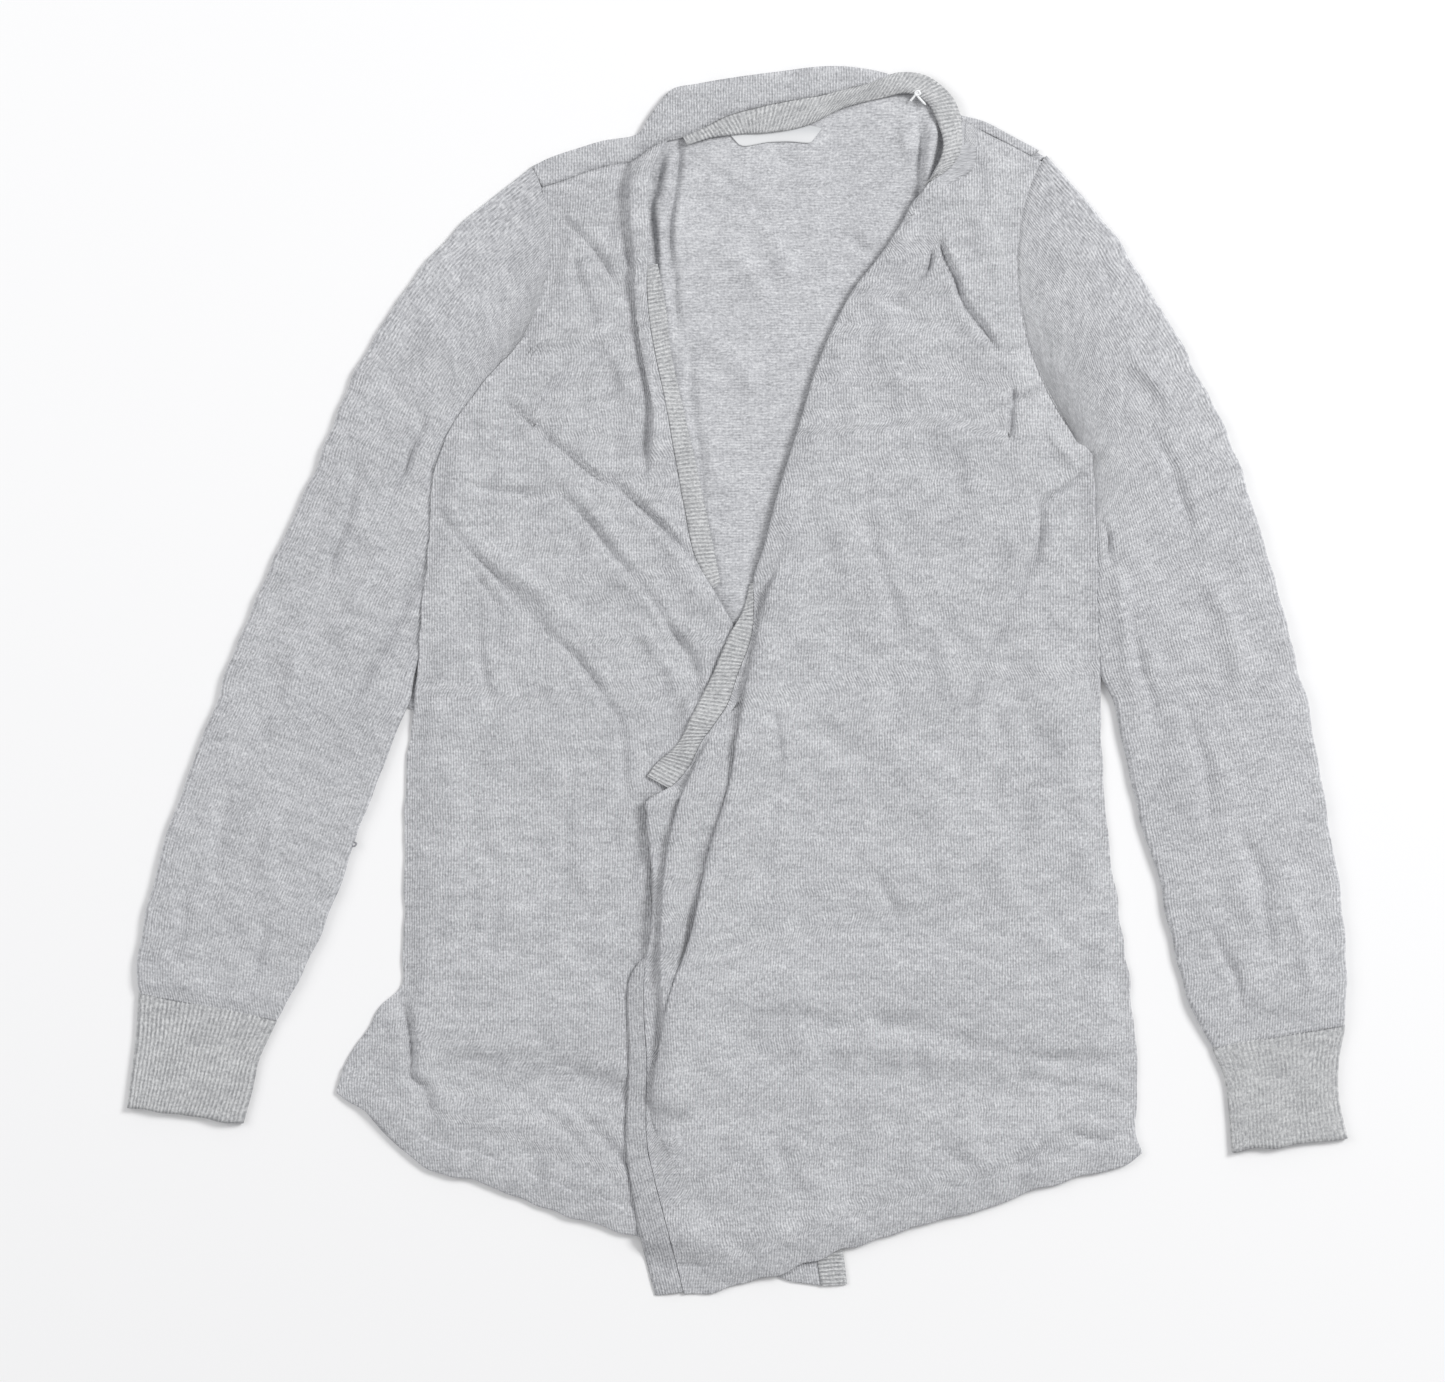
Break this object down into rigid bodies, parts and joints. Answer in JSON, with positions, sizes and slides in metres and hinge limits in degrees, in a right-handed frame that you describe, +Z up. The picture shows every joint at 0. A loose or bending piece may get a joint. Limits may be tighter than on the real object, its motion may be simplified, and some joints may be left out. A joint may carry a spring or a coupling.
{
  "type": "cardigan",
  "caption": "Long-sleeved open-front knitted cardigan with ribbed bands and cuffs, laid flat and face up.",
  "frame": {"origin": "centre of the footprint, on the surface that the cardigan lies on", "axes": "+X to the right seen from above, +Y from the hem to the collar, +Z up"},
  "size_m": [0.8236, 0.8288, 0.0144],
  "materials": {
    "jersey": "fine plain knit, marl",
    "rib": "fine one by one rib knit",
    "label": "woven tape, blank",
    "tape": "cotton stay tape"
  },
  "bodies": {
    "root": {"back": "jersey", "front_right": "jersey", "front_left": "jersey", "sleeve_right": "jersey", "sleeve_left": "jersey", "cuff_right": "rib", "cuff_left": "rib", "band_neck": "rib", "band_right": "rib", "band_right_low": "rib", "band_left_middle": "rib", "band_left_low": "rib", "label": "label", "shoulder_tape": "tape"}
  },
  "joints": []
}
